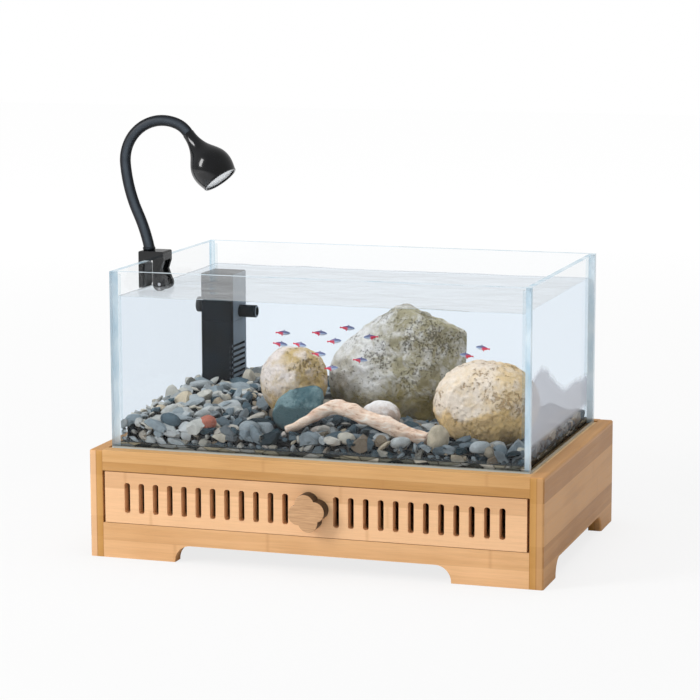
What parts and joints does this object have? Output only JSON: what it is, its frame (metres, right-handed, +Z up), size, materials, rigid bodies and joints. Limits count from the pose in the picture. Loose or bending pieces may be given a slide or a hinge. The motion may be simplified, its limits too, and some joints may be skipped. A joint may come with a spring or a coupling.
{
  "type": "nano aquarium",
  "caption": "Small rectangular glass tank with stones, gravel, internal filter and clip-on gooseneck lamp, on a low bamboo stand with a slotted drawer.",
  "frame": {"origin": "on the floor, under the middle of the whole object's outline, lamp neck and drawer knob included", "axes": "+Z up, the drawer's front faces -Y, +X right along the tank's length as seen from the front"},
  "size_m": [0.4446, 0.301, 0.4051],
  "materials": {
    "bamboo": "satin, lengthwise grain",
    "plywood": "sanded",
    "dowel_wood": "ribbed, sanded",
    "steel": "plain",
    "bamboo_light": "satin, lengthwise grain",
    "charred_bamboo": "satin face, toasted edge",
    "float_glass": "clear, polished edges",
    "silicone": "translucent",
    "gravel": "loose slate chips",
    "rock": "pitted, with moss",
    "white_rock": "pitted",
    "slate": "split",
    "driftwood": "pale, weathered",
    "pebble": "rounded",
    "filter_plastic": "satin",
    "filter_foam": "open foam",
    "coil_resin": "potted",
    "ceramic_shaft": "ground",
    "magnet": "moulded magnet and rotor",
    "soft_rubber": "matt",
    "lamp_plastic": "gloss",
    "spring_steel": "oiled",
    "neck_cover": "satin sleeve",
    "lens_plastic": "diffusing",
    "circuit_board": "white board with lights"
  },
  "bodies": {
    "base": {"left_side_board": "bamboo", "right_side_board": "bamboo", "front_top_rail": "bamboo", "front_bottom_rail": "bamboo", "back_board": "bamboo", "deck_panel": "plywood", "left_deck_cleat": "bamboo", "right_deck_cleat": "bamboo", "left_drawer_runner": "bamboo", "right_drawer_runner": "bamboo", "drawer_stops": "bamboo", "corner_dowels": "dowel_wood", "rail_screws": "steel"},
    "drawer": {"drawer_front": "bamboo_light", "drawer_left_side": "bamboo_light", "drawer_right_side": "bamboo_light", "drawer_back": "bamboo_light", "drawer_floor": "plywood", "drawer_knob": "charred_bamboo", "knob_screw": "steel"},
    "tank": {"tank_front_pane": "float_glass", "tank_back_pane": "float_glass", "tank_left_pane": "float_glass", "tank_right_pane": "float_glass", "tank_bottom_pane": "float_glass", "silicone_seams": "silicone", "gravel_bed": "gravel", "centre_rock": "rock", "right_boulder": "rock", "left_boulder": "rock", "white_stone": "white_rock", "leaning_slate": "slate", "driftwood_branch": "driftwood", "front_pebbles": "pebble"},
    "filter": {"filter_sheath": "filter_plastic", "filter_sponge": "filter_foam"},
    "pump_head": {"filter_head": "filter_plastic", "motor_coil": "coil_resin", "impeller_cover": "filter_plastic", "impeller_shaft": "ceramic_shaft", "suction_cups": "soft_rubber"},
    "outlet": {"outlet_nozzle": "filter_plastic"},
    "rotor": {"impeller": "magnet"},
    "lamp_clip": {"clip_body": "lamp_plastic", "clip_pin": "steel", "outer_jaw_pad": "soft_rubber", "jaw_springs": "spring_steel"},
    "lamp_jaw": {"clip_jaw": "lamp_plastic", "inner_jaw_pad": "soft_rubber"},
    "neck_foot": {"gooseneck_lower": "neck_cover"},
    "neck_middle": {"gooseneck_middle": "neck_cover"},
    "neck_top": {"gooseneck_upper": "neck_cover"},
    "lamp_head": {"lamp_shade": "lamp_plastic", "lamp_bezel": "lamp_plastic", "lamp_lens": "lens_plastic", "led_board": "circuit_board"}
  },
  "joints": [
    {"name": "drawer_slide", "type": "slide", "parent": "base", "child": "drawer", "axis": [0, -1, 0], "range_m": [0, 0.2]},
    {"name": "tank_lift", "type": "slide", "parent": "base", "child": "tank", "axis": [0, 0, 1], "range_m": [0, 0.1]},
    {"name": "filter_lift", "type": "slide", "parent": "tank", "child": "filter", "axis": [0, 0, 1], "range_m": [0, 0.12]},
    {"name": "pump_head_pull", "type": "slide", "parent": "filter", "child": "pump_head", "axis": [0, 0, 1], "range_m": [0, 0.03]},
    {"name": "outlet_turn", "type": "hinge", "parent": "pump_head", "child": "outlet", "pos_m": [-0.14785, 0.0965, 0.2018], "axis": [1, 0, 0], "range_deg": [-90, 90]},
    {"name": "impeller_spin", "type": "hinge", "parent": "pump_head", "child": "rotor", "pos_m": [-0.1654, 0.0965, 0.2073], "axis": [0, 0, 1], "continuous": true},
    {"name": "lamp_lift", "type": "slide", "parent": "tank", "child": "lamp_clip", "axis": [0, 0, 1], "range_m": [0, 0.06]},
    {"name": "jaw_open", "type": "hinge", "parent": "lamp_clip", "child": "lamp_jaw", "pos_m": [-0.17965, -0.0275, 0.2445], "axis": [0, 1, 0], "range_deg": [0, 14], "stiffness_Nm_per_rad": 0.4, "springref_deg": -20.05},
    {"name": "neck_turn", "type": "hinge", "parent": "lamp_clip", "child": "neck_foot", "pos_m": [-0.19395, -0.0275, 0.2758], "axis": [0, 0, 1], "range_deg": [-60, 60]},
    {"name": "neck_low_bend", "type": "hinge", "parent": "neck_foot", "child": "neck_middle", "pos_m": [-0.20465, -0.0275, 0.31058], "axis": [0, -1, 0], "range_deg": [-15, 30]},
    {"name": "neck_high_bend", "type": "hinge", "parent": "neck_middle", "child": "neck_top", "pos_m": [-0.21702, -0.0275, 0.35774], "axis": [0, -1, 0], "range_deg": [-20, 35]},
    {"name": "head_tilt", "type": "hinge", "parent": "neck_top", "child": "lamp_head", "pos_m": [-0.15359, -0.0275, 0.38949], "axis": [0, -1, 0], "range_deg": [-20, 35]}
  ]
}
